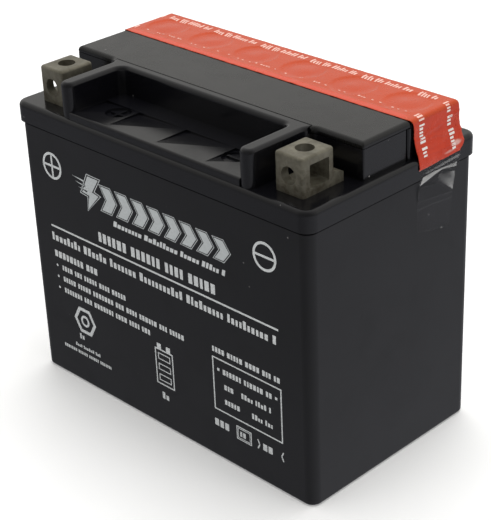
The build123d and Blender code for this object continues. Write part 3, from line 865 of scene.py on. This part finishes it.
BAND_1 = [(13.6, 108.9), (22.9, 109.4), (32.8, 109.9), (32.4, 108.6), (23.6, 108.4), (14.9, 108.1)]
# the next two outlines mark painted glints on the folded film, and where it stands off the case
GLINT_BAND = [(13.0, 107.6), (11.8, 104.6), (16.0, 105.4), (19.8, 106.4), (23.8, 106.9), (31.3, 105.4), (31.6, 107.4), (29.1, 107.3), (23.7, 107.7), (18.3, 107.9)]
GLINT_CORNER = [(21.4, 104.9), (23.0, 105.7), (30.8, 103.9), (31.6, 100.8), (31.3, 96.0), (27.0, 99.5), (22.3, 102.8)]
SHADE = [(11.5, 104.2), (21.8, 102.4), (30.2, 96.6), (31.2, 95.6), (11.5, 98.3)]
FOLDS = (((11.6, 98.3), (30.9, 95.5)), ((11.9, 95.7), (30.4, 94.3)))
BUBBLES = ((18.0, 91.5, 0.36), (25.1, 83.9, 0.40), (13.2, 86.4, 0.16), (14.4, 86.1, 0.15), (15.6, 85.8, 0.2), (16.8, 85.5, 0.16), (18.4, 85.2, 0.26), (19.8, 84.8, 0.2), (21.6, 84.4, 0.15), (27.6, 83.8, 0.18))


def build_clear(side, name):
    flange_x, wall_x = lid_hi[0], case_hi[0]
    seam = case_hi[2]
    prof = rounded([(flange_x + 0.16, 110.6), (flange_x + 0.21, 108.6), (flange_x + 0.16, seam + 0.3), (flange_x - 0.10, seam - 1.2), (wall_x + 0.16, 98.4), (wall_x + 0.05, 96.2), (wall_x + 0.05, 92.0), (wall_x + 0.05, 82.1)], 3)
    acc = [0.0]
    for a, b in zip(prof, prof[1:]):
        acc.append(acc[-1] + math.hypot(b[0] - a[0], b[1] - a[1]))

    def at(s):
        for i in range(len(acc) - 1):
            if s <= acc[i + 1] or i == len(acc) - 2:
                k = (s - acc[i]) / (acc[i + 1] - acc[i])
                dx, dz = prof[i + 1][0] - prof[i][0], prof[i + 1][1] - prof[i][1]
                d = math.hypot(dx, dz)
                return prof[i][0] + dx * k, prof[i][1] + dz * k, -dz / d, dx / d

    total = acc[-1]
    ns, nv = 130, 96
    shift = 3.7 * side
    verts, glint_and_white_mask, dark, under = [], [], [], []
    T = 0.03
    for i in range(ns + 1):
        for j in range(nv + 1):
            v = j / nv
            s = (total - 4.2 * (1 - v) - 0.15 - 0.12 * fbm(v * 16, 5 + shift)) * i / ns
            x, z, nx, nz = at(s)
            y_left = 11.5 + 0.012 * (109 - z) + 0.05 * fbm(i * 0.12, shift)
            y_right = 33.0 - 2.0 * smooth01((108.5 - z) / 9.0) - 1.7 * max(0.0, (99.5 - z) / 17.5) + 0.08 * fbm(i * 0.15, 9 + shift)
            y = y_left + (y_right - y_left) * v
            p = (y, z)
            lift = 0.03 * fbm(y * 0.3, z * 0.3, shift)
            glint_white = 0.0
            for (a, b), amp, w in zip(FOLDS, (0.16, 0.13), (0.4, 0.35)):
                d, _ = near_line(p, a, b)
                lift += amp * math.exp(-(d / w) ** 2)
                # painted highlight: a thin bright line along each fold
                glint_white = max(glint_white, 0.06 * math.exp(-(d / 0.12) ** 2))
            corner = inside(p, GLINT_CORNER)
            lift += 0.22 * smooth01((corner + 0.3) / 2.0) + 0.12 * smooth01((inside(p, GLINT_BAND) + 0.2) / 0.6)
            # a white band under the torn edge of the red flap, then painted glints on the second band and the corner
            # triangle, with a painted sheen over the corner
            glint_white = max(glint_white, 0.42 * smooth01((inside(p, BAND_1) + 0.12) / 0.30) * (0.75 + 0.35 * v))
            glint_white = max(glint_white, 0.72 * smooth01((inside(p, GLINT_BAND) + 0.10) / 0.26) * (1.0 - 0.22 * v))
            sheen = 0.16 + 0.34 * smooth01((y - 24.0) / 7.0) + 0.10 * math.sin((y + z) * 0.8)
            glint_white = max(glint_white, sheen * smooth01((corner + 0.10) / 0.35))
            for by, bz, br in BUBBLES:
                glint_white = max(glint_white, 0.75 * smooth01((br - math.hypot(y - by, z - bz)) / 0.2))
            edge = min(v, 1 - v) * (y_right - y_left)
            glint_white = max(glint_white, 0.12 * math.exp(-(edge / 0.18) ** 2))
            # painted dark reflections: a dark patch and a dark band in the folds, where the film mirrors the dark case
            shade = 0.85 * smooth01((inside(p, SHADE) + 0.2) / 0.8)
            d, _ = near_line(p, (11.9, 95.2), (30.4, 93.9))
            shade = max(shade, 0.6 * math.exp(-(d / 0.45) ** 2))
            verts.append((side * (x + nx * (lift + T)), y, z + nz * (lift + T)))
            under.append((side * (x + nx * (lift - T * 0.4)), y, z + nz * (lift - T * 0.4)))
            glint_and_white_mask.append(glint_white)
            dark.append(shade)
    top = len(verts)
    verts += under
    glint_and_white_mask += glint_and_white_mask
    dark += dark
    faces = []
    k = nv + 1
    for i in range(ns):
        for j in range(nv):
            a, b, c, d = i * k + j, (i + 1) * k + j, (i + 1) * k + j + 1, i * k + j + 1
            faces.append((a, b, c, d) if side > 0 else (d, c, b, a))
            faces.append((top + d, top + c, top + b, top + a) if side > 0 else (top + a, top + b, top + c, top + d))
    loop = [i * k for i in range(ns + 1)] + [ns * k + j for j in range(1, nv + 1)] + [i * k + nv for i in range(ns - 1, -1, -1)] + [j for j in range(nv - 1, 0, -1)]
    for a, b in zip(loop, loop[1:] + loop[:1]):
        f = (a, top + a, top + b, b)
        faces.append(f if side > 0 else tuple(reversed(f)))
    o = new_mesh(name, verts, faces, [film_mat], smooth=True)
    for n, vals in (("glint_and_white_mask", glint_and_white_mask), ("dark", dark), ("under", [0.0] * top + [1.0] * top)):
        atr = o.data.attributes.new(n, "FLOAT", "POINT")
        atr.data.foreach_set("value", vals)
    return o


for side, node in ((1, "clear_tape_right"), (-1, "clear_tape_left")):
    o = build_clear(side, f"clear_film_{'right' if side > 0 else 'left'}")
    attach(o, "battery")
    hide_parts(node)

# ------------------------------------------------------------------ stage: pale floor, soft light
bm = bmesh.new()
bmesh.ops.create_grid(bm, x_segments=2, y_segments=2, size=6.0)
me = bpy.data.meshes.new("floor")
bm.to_mesh(me)
bm.free()
floor = bpy.data.objects.new("floor", me)
scene.collection.objects.link(floor)
floor.location = (0, 0, -0.0002)
floor_m = Mat("pale floor", (0.86, 0.86, 0.86), 0.9, Specular_IOR_Level=0.1)
floor_m.color(floor_m.mix(floor_m.ramp(floor_m.noise(3, 2), 0.3, 0.7), (0.88, 0.88, 0.88), (0.91, 0.91, 0.91)))
floor_m.b.inputs["Emission Color"].default_value = (1, 1, 1, 1)
floor_m.b.inputs["Emission Strength"].default_value = 0.16
me.materials.append(floor_m.mat)
floor.visible_glossy = False
floor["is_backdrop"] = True

world = bpy.data.worlds.new("studio")
scene.world = world
world.use_nodes = True
nt = world.node_tree
bg = nt.nodes["Background"]
tc = nt.nodes.new("ShaderNodeTexCoord")
sep = nt.nodes.new("ShaderNodeSeparateXYZ")
nt.links.new(tc.outputs["Generated"], sep.inputs[0])


def wmath(op, a, b, clamp=False):
    n = nt.nodes.new("ShaderNodeMath")
    n.operation = op
    n.use_clamp = clamp
    for i, x in enumerate((a, b)):
        if isinstance(x, (int, float)):
            n.inputs[i].default_value = x
        else:
            nt.links.new(x, n.inputs[i])
    return n.outputs[0]


def wstep(x, a, b, lo, hi):
    n = nt.nodes.new("ShaderNodeMapRange")
    n.interpolation_type = "SMOOTHSTEP"
    for k, v in (("From Min", a), ("From Max", b), ("To Min", lo), ("To Max", hi)):
        n.inputs[k].default_value = v
    nt.links.new(x, n.inputs["Value"])
    return n.outputs["Result"]


up = sep.outputs[2]
# above the horizon: brighter behind and to the left, dimmer in front; below it: brighter behind and to the right
side_mix = wmath("ADD", wmath("MULTIPLY", sep.outputs[0], -0.45), wmath("MULTIPLY", sep.outputs[1], 0.75))
above = wstep(side_mix, -0.75, 0.65, 0.20, 0.70)
floor_mix = wmath("ADD", wmath("MULTIPLY", sep.outputs[0], 0.6), wmath("MULTIPLY", sep.outputs[1], 0.6))
below = wstep(floor_mix, -0.7, 0.7, 0.25, 0.46)
level = wmath("ADD", wmath("MULTIPLY", above, wstep(up, -0.10, 0.14, 0.0, 1.0)), wmath("MULTIPLY", below, wstep(up, 0.08, -0.14, 0.0, 1.0)))
cam_ray = nt.nodes.new("ShaderNodeLightPath").outputs["Is Camera Ray"]
mixn = nt.nodes.new("ShaderNodeMix")
mixn.data_type = "FLOAT"
nt.links.new(cam_ray, mixn.inputs["Factor"])
nt.links.new(level, mixn.inputs[2])
mixn.inputs[3].default_value = 0.93
nt.links.new(mixn.outputs[0], bg.inputs["Strength"])
# a little warmer above than below
tint = nt.nodes.new("ShaderNodeMix")
tint.data_type = "RGBA"
nt.links.new(wstep(up, -0.12, 0.16, 0.0, 1.0), tint.inputs["Factor"])
tint.inputs[6].default_value = (0.97, 0.98, 1.05, 1)
tint.inputs[7].default_value = (1.02, 1.005, 0.965, 1)
white = nt.nodes.new("ShaderNodeMix")
white.data_type = "RGBA"
nt.links.new(cam_ray, white.inputs["Factor"])
nt.links.new(tint.outputs[2], white.inputs[6])
white.inputs[7].default_value = (1, 1, 1, 1)
nt.links.new(white.outputs[2], bg.inputs["Color"])


def area(name, loc, target, size, power, color=(1, 1, 1), size_y=None):
    d = bpy.data.lights.new(name, "AREA")
    d.energy = power
    d.color = color
    d.shape = "RECTANGLE"
    d.size = size
    d.size_y = size_y or size
    o = bpy.data.objects.new(name, d)
    scene.collection.objects.link(o)
    o.location = loc
    o.rotation_mode = "QUATERNION"
    o.rotation_quaternion = (Vector(target) - Vector(loc)).to_track_quat("-Z", "Y")
    return o


area("top softbox", (-0.10, 0.25, 1.15), (0, 0, 0.1), 1.1, 12.0).visible_glossy = False
area("front fill", (-0.35, -1.15, 0.75), (0, 0, 0.07), 0.8, 3.0).visible_glossy = False
area("right fill", (1.15, 0.1, 0.7), (0, 0, 0.07), 0.7, 3.0).visible_glossy = False

# ------------------------------------------------------------------ camera at the photograph's viewing angle
AZ, EL, ROLL = 0.8061353, 0.4861179, -0.0430128
F_PX = 1529.755
TARGET = Vector((476.35977, -456.06749, 403.68758))
DIST = -167.24853
back = Vector((math.sin(AZ) * math.cos(EL), -math.cos(AZ) * math.cos(EL), math.sin(EL)))
pos = TARGET + back * DIST
fw = -back
right = fw.cross(Vector((0, 0, 1))).normalized()
up_v = right.cross(fw)
r2 = right * math.cos(ROLL) + up_v * math.sin(ROLL)
u2 = -right * math.sin(ROLL) + up_v * math.cos(ROLL)
cam_d = bpy.data.cameras.new("camera")
cam = bpy.data.objects.new("camera", cam_d)
scene.collection.objects.link(cam)
m = Matrix((
    (r2.x, u2.x, -fw.x, pos.x * MM),
    (r2.y, u2.y, -fw.y, pos.y * MM),
    (r2.z, u2.z, -fw.z, pos.z * MM),
    (0, 0, 0, 1),
))
cam.matrix_world = m
cam_d.sensor_width = 36.0
cam_d.lens = F_PX * 36.0 / 520.0
cam_d.clip_start = 0.01
cam_d.clip_end = 50.0
scene.camera = cam

lo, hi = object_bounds()
